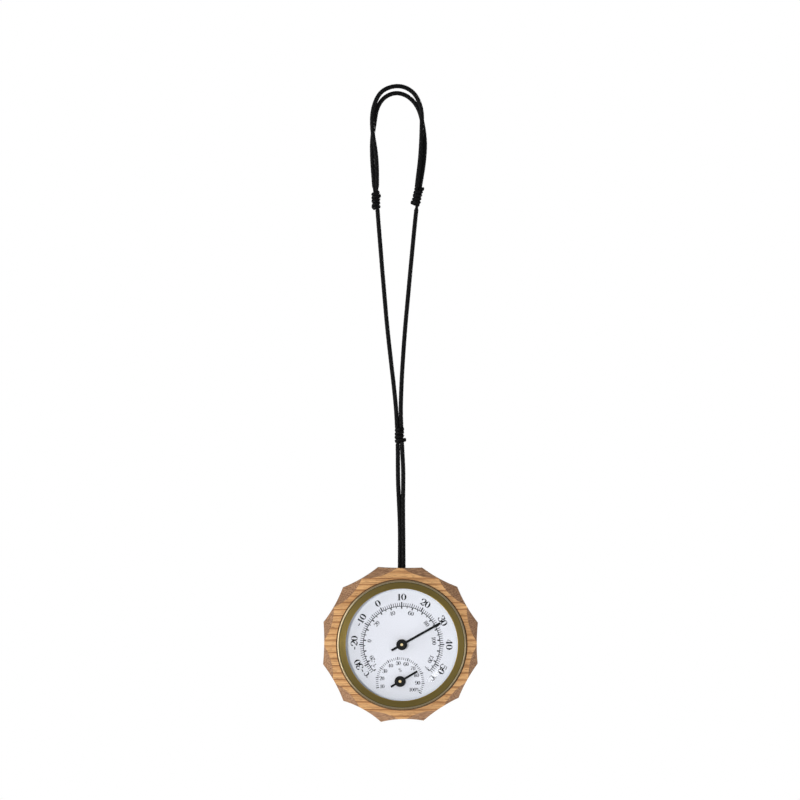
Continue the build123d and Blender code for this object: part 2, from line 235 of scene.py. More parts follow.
# two braided waxed cords, each from the stopper knot up to its far knot
cordLook = {
    "radius": 1.0 * mm,
    "strands": 5,            # each way round
    "strandRadius": 0.31 * mm,
    "weaveMiddle": 0.805 * mm,
    "weaveSwing": 0.05 * mm,
    "coreRadius": 1.02 * mm,
    "lay": 11.5 * mm,        # length of one turn of a strand
    "step": 0.36 * mm,
    "squeeze": 0.30,         # how much thinner a cord is inside a knot
    "squeezeOver": 1.2 * mm,
    "dark": ((0.0015, 0.0015, 0.0018, 1), (0.0040, 0.0040, 0.0040, 1)),
    "fibre": (0.010, 0.0095, 0.0095, 1),
    "fluffDepth": 0.05 * mm,
}
cordRoutes = {
    "cord_left": (
        (1.45, 0.6, -249.5),
        (1.45, 0.6, -243.0),
        (1.5, 0.6, -232.0),
        (1.56, 0.66, -222.0),
        (1.42, 0.68, -212.0),
        (0.95, 0.15, -202.0),
        (0.52, 0.0, -193.0),
        (0.45, 0.0, -184.0),
        (0.45, 0.0, -177.0),
        (0.15, 0.0, -168.0),
        (-0.3, 0.0, -158.5),
        (-0.95, 0.0, -151.0),
        (-2.25, 0.0, -139.0),
        (-4.7, -0.1, -118.0),
        (-6.7, -0.3, -95.0),
        (-8.9, -0.6, -68.0),
        (-10.2, -0.9, -51.0),
        (-9.92, -1.2, -39.0),
        (-10.52, -1.2, -28.0),
        (-12.5, -1.2, -17.0),
        (-12.4, -1.2, -7.0),
        (-9.0, -1.2, 1.6),
        (-3.0, -1.2, 4.9),
        (3.6, -1.2, 4.9),
        (9.4, -1.2, 1.0),
        (12.5, -1.2, -6.8),
        (12.4, -1.2, -15.0),
        (12.1, -1.2, -24.0),
        (11.4, -1.2, -33.5),
        (10.2, -1.0, -42.5),
        (9.3, -0.9, -51.0),
    ),
    "cord_right": (
        (3.25, -0.6, -249.5),
        (3.25, -0.6, -243.0),
        (3.2, -0.6, -232.0),
        (3.14, -0.66, -222.0),
        (3.02, -0.68, -212.0),
        (3.0, -0.15, -202.0),
        (3.12, 0.0, -193.0),
        (3.12, 0.0, -186.0),
        (2.72, 0.0, -178.5),
        (2.25, 0.0, -168.5),
        (1.88, 0.0, -159.0),
        (1.95, 0.0, -152.0),
        (2.4, 0.0, -140.5),
        (3.7, 0.1, -120.0),
        (5.8, 0.3, -97.0),
        (8.3, 0.6, -70.0),
        (10.0, 0.9, -53.5),
        (11.9, 1.2, -43.0),
        (13.5, 1.2, -33.0),
        (14.2, 1.2, -22.5),
        (12.6, 1.2, -12.0),
        (10.4, 1.2, -5.2),
        (5.9, 1.2, -0.1),
        (-0.3, 1.2, 2.0),
        (-6.5, 1.2, -0.4),
        (-10.1, 1.2, -5.9),
        (-11.2, 1.2, -13.0),
        (-12.5, 1.2, -21.5),
        (-12.45, 1.2, -31.0),
        (-11.72, 1.0, -41.0),
        (-11.0, 0.9, -50.0),
    ),
}

# each knot: how far it leans, the turns wound round it, how far out they lie, and
# its cut ends as (height from its middle, direction from +X, reach)
knotLook = {
    "knot_left": {
        "lean": 3, "turns": 4.5, "reach": 1.28, "start": 200,
        "ends": ((1.6, 8, 2.1), (-3.6, 172, 1.8)),
    },
    "knot_right": {
        "lean": -12, "turns": 4.6, "reach": 1.40, "start": 20,
        "ends": ((3.9, 10, 2.1), (-3.8, 175, 2.1)),
    },
    "knot_center": {
        "lean": 0, "turns": 3.9, "reach": 1.46, "start": 320,
        "ends": ((-2.5, -10, 2.9), (3.1, -14, 1.9)),
    },
    "knot_stopper": {
        "lean": 0, "turns": 2.3, "reach": 2.05, "start": 90,
        "ends": ((-2.0, 20, 3.1),),
    },
}
knotRadius = 0.86 * mm
turnPoints = 40              # points to a turn of a knot
endPoints = 8                # points to a cut end
endRise = 0.25               # how steeply a cut end climbs


def waxedCord():
    material, tree, shader = newMaterial("waxedCord", {"Roughness": 0.46, "Specular IOR Level": 0.20})
    place = objectPlace(tree)
    fluff = cloudy(tree, place, 2600, 3, 0.6)
    patches = cloudy(tree, place, 160, 2)
    dark = blendColours(tree, patches, *cordLook["dark"])
    fibre = spread(tree, fluff, 0.0, 0.4, 0.55, 0.8)
    colour = blendColours(tree, fibre, dark, cordLook["fibre"])
    tree.links.new(colour, shader.inputs["Base Color"])
    tree.links.new(spread(tree, patches, 0.34, 0.55, 0.3, 0.7), shader.inputs["Roughness"])
    tree.links.new(bump(tree, fluff, cordLook["fluffDepth"], 0.6), shader.inputs["Normal"])
    return material


def linkPiece(name, mesh, material, smooth=True):
    mesh.materials.append(material)
    if smooth:
        mesh.shade_smooth()
    piece = bpy.data.objects.new(name, mesh)
    bpy.context.scene.collection.objects.link(piece)
    return piece


def meshFromCurve(curve):
    holder = bpy.data.objects.new("holder", curve)
    bpy.context.scene.collection.objects.link(holder)
    bpy.context.view_layer.update()
    graph = bpy.context.evaluated_depsgraph_get()
    mesh = bpy.data.meshes.new_from_object(holder.evaluated_get(graph))
    bpy.data.objects.remove(holder)
    bpy.data.curves.remove(curve)
    return mesh


def newCurve(name):
    curve = bpy.data.curves.new(name, "CURVE")
    curve.dimensions = "3D"
    return curve


def smoothLine(route):
    # the route as one NURBS spline, read back as a close line of points
    curve = newCurve("route")
    spline = curve.splines.new("NURBS")
    spline.points.add(len(route) - 1)
    for point, place in zip(spline.points, route):
        point.co = (*(value * mm for value in place), 1)
    spline.order_u = 3
    spline.use_endpoint_u = True
    curve.resolution_u = 48
    mesh = meshFromCurve(curve)
    line = [vertex.co.copy() for vertex in mesh.vertices]
    bpy.data.meshes.remove(mesh)
    return line


def evenLine(line, step):
    # points a step apart along a close line
    total = sum((after - before).length for before, after in zip(line, line[1:]))
    gap = total / max(2, round(total / step))
    points = [line[0].copy()]
    travelled = 0.0
    for before, after in zip(line, line[1:]):
        run = (after - before).length
        while run > 0 and travelled + run >= gap * len(points) - 1e-9:
            share = (gap * len(points) - travelled) / run
            points.append(before.lerp(after, min(1.0, share)))
        travelled += run
    return points


def framesAlong(points):
    # each point with two directions across the line that turn as little as they can
    frames = []
    across = Vector((0, 1, 0.01))
    for index, point in enumerate(points):
        ahead = points[min(index + 1, len(points) - 1)] - points[max(index - 1, 0)]
        ahead.normalize()
        across = (across - ahead * across.dot(ahead)).normalized()
        frames.append((point, across.copy(), ahead.cross(across)))
    return frames


def addStrand(curve, places, widths):
    spline = curve.splines.new("POLY")
    spline.points.add(len(places) - 1)
    for point, place, width in zip(spline.points, places, widths):
        point.co = (*place, 1)
        point.radius = width


def braid(points, step, thickness):
    # two sets of strands wind opposite ways over and under each other round a core
    curve = newCurve("braid")
    curve.bevel_depth = cordLook["strandRadius"]
    curve.bevel_resolution = 1
    curve.use_fill_caps = True
    frames = framesAlong(points)
    count = cordLook["strands"]
    for way in (1, -1):
        for strand in range(count):
            places = []
            for index, (point, across, over) in enumerate(frames):
                turns = index * step / (cordLook["lay"] * thickness[0])
                angle = math.tau * (way * turns + strand / count)
                weave = way * math.cos(math.tau * count * turns)
                reach = (cordLook["weaveMiddle"] + cordLook["weaveSwing"] * weave) * thickness[index]
                places.append(point + (across * math.cos(angle) + over * math.sin(angle)) * reach)
            addStrand(curve, places, thickness)
    core = cordLook["coreRadius"] / cordLook["strandRadius"]
    addStrand(curve, points, [core * value for value in thickness])
    return meshFromCurve(curve)


knotSpans = [(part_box(name)[0].z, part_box(name)[1].z) for name in knotLook]


def inKnot(height):
    # 1 inside a knot, falling to 0 at its ends
    depth = max(min(height - low, high - height) for low, high in knotSpans)
    return min(1.0, max(0.0, depth / cordLook["squeezeOver"]))


def makeCord(name, material):
    line = smoothLine(cordRoutes[name])
    points = evenLine(line, cordLook["step"])
    thickness = [1 - cordLook["squeeze"] * inKnot(point.z) for point in points]
    thickness[0] = 1.0
    cord = linkPiece(f"{name}_braid", braid(points, cordLook["step"], thickness), material)
    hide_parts(name)
    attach(cord, "wooden_body")
    return cord, line


def wound(look, length):
    # the turns of a knot as a line of points round +Z
    half = length / 2 - knotRadius
    count = round(look["turns"] * turnPoints)
    points = []
    for index in range(count + 1):
        share = index / count
        angle = math.radians(look["start"]) + math.tau * look["turns"] * share
        swell = 1 + 0.04 * math.sin(math.pi * share) + 0.03 * math.sin(5.3 * angle)
        reach = look["reach"] * mm * swell
        rise = (2 * share - 1) * half + 0.08 * mm * math.sin(1.7 * angle)
        points.append(Vector((reach * math.cos(angle), reach * math.sin(angle), rise)))
    return points


def makeKnot(name, material):
    look = knotLook[name]
    low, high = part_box(name)
    centre = (low + high) / 2
    lean = math.radians(look["lean"])
    width = (high.x - low.x) - (high.z - low.z) * abs(math.tan(lean))
    length = (high.z - low.z - width * abs(math.sin(lean))) / math.cos(lean)
    shape = bmesh.new()
    thin = knotRadius / cordLook["radius"]
    turns = evenLine(wound(look, length), cordLook["step"])
    parts = [turns]
    for height, direction, reach in look["ends"]:
        way = Vector((math.cos(math.radians(direction)), math.sin(math.radians(direction)), endRise))
        start = Vector((0, 0, height * mm))
        parts.append([start + way * (reach * mm * share / endPoints) for share in range(1, endPoints + 1)])
    for part in parts:
        step = (part[1] - part[0]).length
        mesh = braid(part, step, [thin] * len(part))
        shape.from_mesh(mesh)
        bpy.data.meshes.remove(mesh)
    for part in parts[1:]:
        blob = Matrix.Translation(part[-1]) @ Matrix.Diagonal((0.6, 1.0, 1.0, 1.0))
        bmesh.ops.create_icosphere(shape, subdivisions=2, radius=knotRadius * 1.2, matrix=blob)
    place = Matrix.Translation(centre) @ Matrix.Rotation(-lean, 4, "Y")
    bmesh.ops.transform(shape, matrix=place, verts=shape.verts)
    mesh = bpy.data.meshes.new(f"{name}_winding")
    shape.to_mesh(mesh)
    shape.free()
    knot = linkPiece(f"{name}_winding", mesh, material)
    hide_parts(name)
    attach(knot, "wooden_body")
    return knot


cordMaterial = waxedCord()
knots = {name: makeKnot(name, cordMaterial) for name in knotLook}
leftCord, leftLine = makeCord("cord_left", cordMaterial)
rightCord, rightLine = makeCord("cord_right", cordMaterial)
print("cords and knots are braided")


woodLook = {
    "ringGap": 2.9 * mm,
    "fineGap": 0.83 * mm,
    "heart": (0.0, 0.055, -0.145),       # the middle of the tree, from the dial's axis
    "pale": (0.640, 0.375, 0.165, 1),
    "warm": (0.440, 0.225, 0.088, 1),
    "late": (0.170, 0.066, 0.026, 1),
    "pore": (0.12, 0.055, 0.026, 1),
    "cutToneAndShade": (0.43, 0.245, 0.140, 1),      # the greyer tone of the gouged facets, darkened further as painted shade
    "cutGrain": (0.115, 0.058, 0.032, 1),
    "cutShare": 0.84,
    "seatShade": (0.045, 0.020, 0.010, 1),    # painted shade: the dark line on the wood round the bezel
    "seatShadeFrom": 0.35 * mm,
    "seatShadeTo": 0.70 * mm,
    "logStretch": (0.07, 1, 1),
    "fibreStretch": (70, 2300, 2300),
    "softStretch": (14, 90, 90),
    "poreStretch": (420, 5200, 5200),
    "relief": 0.10 * mm,
}


def growthRings(tree, log, gap, distortion, detailScale, detailRough):
    wave = addNode(
        tree, "TexWave",
        {"Vector": log, "Scale": math.tau / 20 / gap, "Distortion": distortion,
         "Detail": 2.0, "Detail Scale": detailScale, "Detail Roughness": detailRough},
        wave_type="RINGS", rings_direction="X", wave_profile="SAW",
    )
    return wave.outputs["Fac"]


def carvedWood():
    material, tree, shader = newMaterial("carvedWood", {"Roughness": 0.55, "Specular IOR Level": 0.35})
    place = objectPlace(tree, dialAxis)
    log = stretched(tree, place, woodLook["logStretch"], tuple(-value for value in woodLook["heart"]))
    rings = growthRings(tree, log, woodLook["ringGap"], 5.0, 0.35, 0.55)
    fine = growthRings(tree, log, woodLook["fineGap"], 7.0, 0.5, 0.6)
    fibres = cloudy(tree, stretched(tree, place, woodLook["fibreStretch"]), 1, 4, 0.65)
    soft = cloudy(tree, stretched(tree, place, woodLook["softStretch"]), 1, 3, 0.5)
    pores = cloudy(tree, stretched(tree, place, woodLook["poreStretch"]), 1, 1, 0.4)
    colour = ramp(tree, rings, (
        (0.0, woodLook["pale"]), (0.56, woodLook["pale"]), (0.80, woodLook["warm"]),
        (0.88, woodLook["late"]), (0.95, woodLook["late"]), (1.0, woodLook["pale"]),
    ))
    colour = blendColours(tree, spread(tree, fine, 0.0, 0.55, 0.66, 0.92), colour, woodLook["warm"])
    colour = blendColours(tree, spread(tree, soft, 0.0, 0.60, 0.35, 0.7), colour, woodLook["warm"])
    streak = spread(tree, fibres, 0.0, 0.72, 0.47, 0.68)
    colour = blendColours(tree, streak, colour, woodLook["late"])
    pits = sums(tree, "MULTIPLY", spread(tree, pores, 0.0, 1.0, 0.60, 0.68), spread(tree, rings, 1.0, 0.35))
    colour = blendColours(tree, sums(tree, "MULTIPLY", pits, 0.75), colour, woodLook["pore"])
    # facets and side walls, found by their facing, take a greyer, darker tone: partly the cut wood's own
    # tone, partly painted shade
    facing = addNode(tree, "SeparateXYZ", {0: addNode(tree, "TexCoord").outputs["Normal"]}).outputs[1]
    carvedToneAndShade = spread(tree, sums(tree, "ABSOLUTE", facing), woodLook["cutShare"], 0.0, 0.82, 0.96)
    grain = spread(tree, fibres, 0.0, 1.0, 0.36, 0.66)
    cutToneAndShade = blendColours(tree, grain, woodLook["cutToneAndShade"], woodLook["cutGrain"])
    cutToneAndShade = blendColours(tree, spread(tree, fine, 0.0, 0.6, 0.60, 0.92), cutToneAndShade, woodLook["cutGrain"])
    colour = blendColours(tree, carvedToneAndShade, colour, cutToneAndShade)
    reach, depth = around(tree, dialAxis)[1:]
    # painted shade: a dark ring on the wood's front just outside the bezel
    bezelReach = (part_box("bezel")[1].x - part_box("bezel")[0].x) / 2
    seatShadeStart = bezelReach + woodLook["seatShadeFrom"]
    seatShade = spread(tree, reach, 0.95, 0.0, seatShadeStart, bezelReach + woodLook["seatShadeTo"])
    nearFront = spread(tree, depth, 1.0, 0.0, woodFront + 0.4 * mm, woodFront + mm)
    seatShade = sums(tree, "MULTIPLY", seatShade, nearFront)
    colour = blendColours(tree, seatShade, colour, woodLook["seatShade"])
    tree.links.new(colour, shader.inputs["Base Color"])
    tree.links.new(spread(tree, fibres, 0.46, 0.68, 0.3, 0.7), shader.inputs["Roughness"])
    cuts = sums(tree, "SUBTRACT", sums(tree, "MULTIPLY", fibres, 0.35), pits)
    tree.links.new(bump(tree, cuts, woodLook["relief"], 0.6), shader.inputs["Normal"])
    return material


def dressNode(name, material):
    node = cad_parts[name]
    node.data.materials.clear()
    node.data.materials.append(material)


dressNode("wood_body", carvedWood())
print("wood is grained")


bezelLook = {
    "brass": (0.56, 0.41, 0.13, 1),
    "deep": (0.44, 0.31, 0.088, 1),
    "bright": (0.91, 0.74, 0.44, 1),
    # painted shade: a dark ring between the brass band and the bright rim
    "groove": (0.17, 0.125, 0.04, 1),
    "edge": (0.62, 0.42, 0.10, 1),
    "grooveFrom": 31.12 * mm,
    "rimFrom": 31.36 * mm,
    "lipTo": 28.45 * mm,
    "blend": 0.08 * mm,
    "lipBlend": 0.15 * mm,
    "scratchDepth": 0.012 * mm,
}


def brushedBrass():
    material, tree, shader = newMaterial("brushedBrass", {"Metallic": 1.0})
    turn, reach, depth = around(tree, dialAxis)
    lathe = addNode(tree, "CombineXYZ", {
        0: sums(tree, "MULTIPLY", turn, 5.0), 1: sums(tree, "MULTIPLY", reach, 9000.0),
        2: sums(tree, "MULTIPLY", depth, 3000.0),
    }).outputs[0]
    scratches = cloudy(tree, lathe, 1, 4, 0.7)
    tarnish = cloudy(tree, objectPlace(tree), 110, 3, 0.6)
    grooveFrom, rimFrom, lipTo = bezelLook["grooveFrom"], bezelLook["rimFrom"], bezelLook["lipTo"]
    # painted shade between the band and the rim, in place of the rim's inner highlight
    groove = spread(tree, reach, 0.0, 1.0, grooveFrom - bezelLook["blend"], grooveFrom)
    rim = spread(tree, reach, 0.0, 1.0, rimFrom - bezelLook["blend"], rimFrom)
    lip = spread(tree, reach, 1.0, 0.0, lipTo - bezelLook["lipBlend"], lipTo)
    worn = spread(tree, scratches, 0.0, 1.0, 0.35, 0.7)
    colour = blendColours(tree, worn, bezelLook["brass"], bezelLook["deep"])
    colour = blendColours(tree, spread(tree, tarnish, 0.0, 0.35, 0.5, 0.8), colour, bezelLook["deep"])
    colour = blendColours(tree, groove, colour, bezelLook["groove"])
    colour = blendColours(tree, rim, colour, bezelLook["bright"])
    colour = blendColours(tree, lip, colour, bezelLook["edge"])
    tree.links.new(colour, shader.inputs["Base Color"])
    satin = spread(tree, scratches, 0.30, 0.48, 0.3, 0.7)
    rough = sums(tree, "SUBTRACT", satin, sums(tree, "MULTIPLY", rim, 0.06))
    tree.links.new(rough, shader.inputs["Roughness"])
    tree.links.new(bump(tree, scratches, bezelLook["scratchDepth"], 0.5), shader.inputs["Normal"])
    return material


dressNode("bezel", brushedBrass())


glassLook = {"index": 1.45, "tint": (0.975, 0.985, 0.985, 1), "rough": (0.01, 0.07)}


def clearGlass():
    material, tree, shader = newMaterial("clearGlass", {})
    output = tree.nodes["Material Output"]
    tree.nodes.remove(shader)
    through = addNode(tree, "BsdfTransparent", {"Color": glassLook["tint"]})
    smears = cloudy(tree, objectPlace(tree), 260, 3, 0.6)
    rough = spread(tree, smears, *glassLook["rough"], 0.4, 0.7)
    gloss = addNode(tree, "BsdfGlossy", {"Roughness": rough})
    # the node turns the index over on the glass's far side, so it is turned back there
    far = addNode(tree, "NewGeometry").outputs["Backfacing"]
    index = spread(tree, far, glassLook["index"], 1 / glassLook["index"])
    edge = addNode(tree, "Fresnel", {"IOR": index}).outputs[0]
    both = addNode(tree, "MixShader", {0: edge, 1: through.outputs[0], 2: gloss.outputs[0]})
    tree.links.new(both.outputs[0], output.inputs["Surface"])
    return material


dressNode("lens", clearGlass())
print("bezel and glass are finished")


# each plain finish mixes two tones by a fine pattern, which also lifts its surface
finishes = {
    "dialWhite": {
        "tones": ((0.750, 0.736, 0.790), (0.722, 0.708, 0.760)),
        "rough": 0.5, "metal": 0, "grain": 900, "lift": 0.004,
        # edge: a slightly lighter ring towards the dial's rim, painted light; shade: painted shade next to
        # the bezel
        "edge": (0.745, 0.735, 0.780), "shade": (0.62, 0.63, 0.68), "reaches": (21.5, 26.0, 26.7, 27.9),
    },
    "inkBlack": {
        "tones": ((0.006, 0.006, 0.008), (0.016, 0.016, 0.019)),
        "rough": 0.7, "metal": 0, "grain": 3000, "lift": 0.004, "gloss": 0.15,
    },
    "inkGrey": {
        "tones": ((0.045, 0.045, 0.052), (0.085, 0.085, 0.095)),
        "rough": 0.7, "metal": 0, "grain": 3000, "lift": 0.004, "gloss": 0.15,
    },
    "handBlack": {
        "tones": ((0.003, 0.003, 0.003), (0.006, 0.006, 0.006)),
        "rough": 0.50, "metal": 0, "grain": 2500, "lift": 0.006, "gloss": 0.15,
    },
    "hubBlack": {
        "tones": ((0.003, 0.003, 0.003), (0.007, 0.007, 0.007)),
        "rough": 0.42, "metal": 0, "grain": 1800, "lift": 0.004, "gloss": 0.15,
    },
    "turnedBrass": {
        "tones": ((1.0, 0.80, 0.46), (0.92, 0.68, 0.34)),
        "rough": 0.30, "metal": 0.25, "grain": 4000, "lift": 0.004,
    },
    "bridgeBrass": {
        "tones": ((0.68, 0.50, 0.22), (0.52, 0.36, 0.14)),
        "rough": 0.35, "metal": 1, "grain": 1500, "lift": 0.006,
    },
    "springSteel": {
        "tones": ((0.42, 0.42, 0.43), (0.30, 0.30, 0.32)),
        "rough": 0.32, "metal": 1, "grain": 2200, "lift": 0.006,
    },
    "bimetalStrip": {
        "tones": ((0.60, 0.50, 0.36), (0.42, 0.37, 0.32)),
        "rough": 0.34, "metal": 1, "grain": 1800, "lift": 0.006,
    },
    "humidityStrip": {
        "tones": ((0.55, 0.47, 0.34), (0.44, 0.36, 0.25)),
        "rough": 0.60, "metal": 0, "grain": 2600, "lift": 0.010,
    },
    "caseZinc": {
        "tones": ((0.52, 0.53, 0.55), (0.38, 0.39, 0.41)),
        "rough": 0.42, "metal": 1, "grain": 700, "lift": 0.010,
    },
    "whitePlastic": {
        "tones": ((0.72, 0.73, 0.76), (0.66, 0.67, 0.70)),
        "rough": 0.45, "metal": 0, "grain": 1200, "lift": 0.008,
    },
    "bandRubber": {
        "tones": ((0.020, 0.020, 0.021), (0.038, 0.037, 0.037)),
        "rough": 0.72, "metal": 0, "grain": 1600, "lift": 0.020,
    },
    "gasketRubber": {
        "tones": ((0.10, 0.10, 0.10), (0.06, 0.06, 0.06)),
        "rough": 0.70, "metal": 0, "grain": 1600, "lift": 0.010,
    },
}
wornBy = {
    "dialWhite": ("dial_plate",),
    "handBlack": ("temperature_hand", "humidity_hand"),
    "hubBlack": ("temperature_hub", "humidity_hub"),
    "turnedBrass": ("temperature_arbor", "humidity_arbor", "temperature_bush", "humidity_bush"),
    "bridgeBrass": ("temperature_bridge", "humidity_bridge"),
    "springSteel": ("temperature_lever", "humidity_lever", "bridge_rivets"),
    "bimetalStrip": ("temperature_coil",),
    "humidityStrip": ("humidity_coil",),
    "caseZinc": ("case_cup",),
    "whitePlastic": ("movement_plate", "dial_spacer"),
    "bandRubber": ("fit_band",),
    "gasketRubber": ("lens_gasket",),
}


def plainFinish(name, look):
    gloss = look.get("gloss", 0.4)
    material, tree, shader = newMaterial(name, {"Metallic": look["metal"], "Specular IOR Level": gloss})
    light, dark = (tuple(tone) + (1,) for tone in look["tones"])
    place = objectPlace(tree)
    grain = cloudy(tree, place, look["grain"], 3, 0.6)
    patches = cloudy(tree, place, look["grain"] / 12, 2)
    both = sums(tree, "MULTIPLY", sums(tree, "ADD", grain, patches), 0.5)
    colour = blendColours(tree, spread(tree, both, 0, 1, 0.4, 0.6), light, dark)
    if "edge" in look:
        reach = around(tree, dialAxis)[1]
        start, full, fade, end = (value * mm for value in look["reaches"])
        # painted light: a slightly lighter ring towards the rim; painted shade: a darker ring by the bezel
        colour = blendColours(tree, spread(tree, reach, 0, 1, start, full), colour, look["edge"] + (1,))
        colour = blendColours(tree, spread(tree, reach, 0, 1, fade, end), colour, look["shade"] + (1,))
    tree.links.new(colour, shader.inputs["Base Color"])
    rough = spread(tree, grain, look["rough"] - 0.06, look["rough"] + 0.08, 0.35, 0.65)
    tree.links.new(rough, shader.inputs["Roughness"])
    tree.links.new(bump(tree, grain, look["lift"] * mm, 0.7), shader.inputs["Normal"])
    return material


finished = {name: plainFinish(name, look) for name, look in finishes.items()}
for name, nodes in wornBy.items():
    for node in nodes:
        dressNode(node, finished[name])
print("movements, case and hands are finished")


# a closed stroke of (x, y, half width), for figures one unit tall
def oval(x, y, across, up, thin, thick, count=20):
    loop = []
    for index in range(count + 1):
        angle = math.tau * index / count
        width = thin + (thick - thin) * abs(math.cos(angle)) ** 1.6
        loop.append((round(x + across * math.cos(angle), 4), round(y + up * math.sin(angle), 4), width))
    loop[-1] = loop[0]
    return tuple(loop)


sixBody = (
    (0.50, 0.78, 0.0), (0.53, 0.84, 0.075), (0.50, 0.98, 0.035), (0.36, 1.01, 0.025), (0.18, 0.94, 0.05),
    (0.07, 0.68, 0.085), (0.06, 0.36, 0.09), (0.12, 0.08, 0.06), (0.30, -0.02, 0.025), (0.50, 0.04, 0.05),
    (0.60, 0.28, 0.09), (0.52, 0.52, 0.06), (0.34, 0.62, 0.025), (0.18, 0.54, 0.022), (0.12, 0.38, 0.02),
)
# each figure's width and its strokes; a closed stroke ends where it starts
figures = {
    "0": (0.66, (oval(0.32, 0.5, 0.23, 0.475, 0.022, 0.080),)),
    "1": (0.52, (
        ((0.28, 0.02, 0.072), (0.28, 0.98, 0.072)),
        ((0.10, 0.80, 0.018), (0.20, 0.84, 0.028), (0.28, 0.96, 0.03)),
        ((0.08, 0.02, 0.022), (0.48, 0.02, 0.022)),
    )),
    "2": (0.64, (
        ((0.12, 0.64, 0.0), (0.10, 0.72, 0.085), (0.08, 0.92, 0.04), (0.24, 1.03, 0.025),
         (0.46, 1.0, 0.05), (0.58, 0.82, 0.085), (0.54, 0.60, 0.075), (0.36, 0.38, 0.035),
         (0.16, 0.18, 0.025), (0.08, 0.03, 0.022)),
        ((0.07, 0.03, 0.02), (0.20, 0.14, 0.06), (0.36, 0.02, 0.075), (0.54, 0.02, 0.055),
         (0.58, 0.24, 0.015)),
    )),
    "3": (0.64, (
        ((0.12, 0.70, 0.0), (0.11, 0.78, 0.08), (0.10, 0.95, 0.035), (0.26, 1.02, 0.025), (0.46, 1.0, 0.055),
         (0.56, 0.82, 0.08), (0.50, 0.60, 0.055), (0.34, 0.53, 0.022), (0.22, 0.53, 0.018)),
        ((0.22, 0.53, 0.018), (0.42, 0.55, 0.03), (0.58, 0.42, 0.075), (0.60, 0.18, 0.085),
         (0.46, -0.03, 0.05), (0.26, -0.04, 0.025), (0.08, 0.06, 0.035), (0.10, 0.22, 0.08),
         (0.11, 0.30, 0.0)),
    )),
    "4": (0.66, (
        ((0.42, 0.99, 0.022), (0.04, 0.29, 0.020)),
        ((0.02, 0.28, 0.022), (0.62, 0.28, 0.022)),
        ((0.43, 0.02, 0.072), (0.43, 0.99, 0.072)),
        ((0.28, 0.02, 0.022), (0.58, 0.02, 0.022)),
    )),
    "5": (0.64, (
        ((0.12, 0.98, 0.020), (0.22, 0.92, 0.055), (0.38, 0.90, 0.06), (0.54, 1.02, 0.02)),
        ((0.13, 0.97, 0.020), (0.11, 0.50, 0.018)),
        ((0.11, 0.48, 0.018), (0.24, 0.66, 0.03), (0.48, 0.66, 0.05), (0.62, 0.44, 0.09),
         (0.60, 0.16, 0.085), (0.44, -0.04, 0.045), (0.22, -0.03, 0.025), (0.08, 0.06, 0.035),
         (0.10, 0.20, 0.08), (0.11, 0.28, 0.0)),
    )),
    "6": (0.66, (sixBody,)),
    "7": (0.62, (
        ((0.07, 0.74, 0.015), (0.07, 0.92, 0.03), (0.22, 1.0, 0.06), (0.40, 0.88, 0.055), (0.58, 0.98, 0.02)),
        ((0.58, 0.97, 0.018), (0.46, 0.70, 0.025), (0.28, 0.44, 0.055), (0.24, 0.20, 0.08),
         (0.24, 0.04, 0.075)),
    )),
    "8": (0.66, (
        oval(0.32, 0.755, 0.175, 0.215, 0.022, 0.068),
        oval(0.32, 0.265, 0.215, 0.24, 0.022, 0.078),
    )),
    "9": (0.66, (tuple((0.64 - x, 1 - y, width) for x, y, width in sixBody),)),
    "-": (0.42, (((0.02, 0.38, 0.055), (0.34, 0.38, 0.055)),)),
    "%": (0.92, (
        oval(0.20, 0.74, 0.13, 0.21, 0.022, 0.052), oval(0.66, 0.26, 0.13, 0.21, 0.022, 0.052),
        ((0.20, 0.0, 0.022), (0.66, 1.0, 0.022)),
    )),
    "o": (0.34, (oval(0.15, 0.86, 0.10, 0.11, 0.028, 0.032),)),
    "C": (0.72, (
        ((0.60, 0.60, 0.012), (0.60, 0.84, 0.03), (0.46, 1.04, 0.03), (0.18, 0.98, 0.06),
         (0.04, 0.60, 0.10), (0.06, 0.24, 0.09), (0.24, -0.03, 0.045), (0.50, -0.03, 0.025),
         (0.64, 0.12, 0.02), (0.64, 0.26, 0.012)),
        ((0.61, 0.98, 0.020), (0.61, 0.66, 0.020)),
    )),
    "F": (0.64, (
        ((0.18, 0.02, 0.075), (0.18, 0.98, 0.075)),
        ((0.04, 0.98, 0.022), (0.58, 0.98, 0.022)),
        ((0.57, 0.98, 0.020), (0.59, 0.74, 0.016)),
        ((0.18, 0.52, 0.020), (0.42, 0.52, 0.020)),
        ((0.42, 0.64, 0.018), (0.42, 0.40, 0.018)),
        ((0.04, 0.02, 0.022), (0.34, 0.02, 0.022)),
    )),
}
figureMeshes = {}
inkHeight = 0.012 * mm
strokeHeight = 0.08          # a stroke's rough height in the unit figure
boldness = 1.32
thinnest = 0.004


def figureMesh(sign):
    if sign in figureMeshes:
        return figureMeshes[sign]
    curve = newCurve("figure")
    curve.bevel_depth = 1.0
    curve.bevel_resolution = 0
    curve.use_fill_caps = True
    curve.resolution_u = 4
    for stroke in figures[sign][1]:
        closed = stroke[0] == stroke[-1]
        points = stroke[:-1] if closed else stroke
        spline = curve.splines.new("POLY" if closed else "NURBS")
        spline.points.add(len(points) - 1)
        for point, (x, y, width) in zip(spline.points, points):
            point.co = (x, y, 0, 1)
            point.radius = max(width * boldness, thinnest)
        if closed:
            spline.use_cyclic_u = True
        else:
            spline.order_u = min(4, len(points))
            spline.use_endpoint_u = True
    figureMeshes[sign] = meshFromCurve(curve)
    return figureMeshes[sign]


def onDial(axis):
    # flat work in x and y, facing the reader, laid on the dial with its middle on an axis
    return Matrix.Translation((axis.x, dialFront, axis.z)) @ Matrix.Rotation(math.radians(90), 4, "X")


def clockwise(degrees):
    return Matrix.Rotation(-math.radians(degrees), 4, "Z")


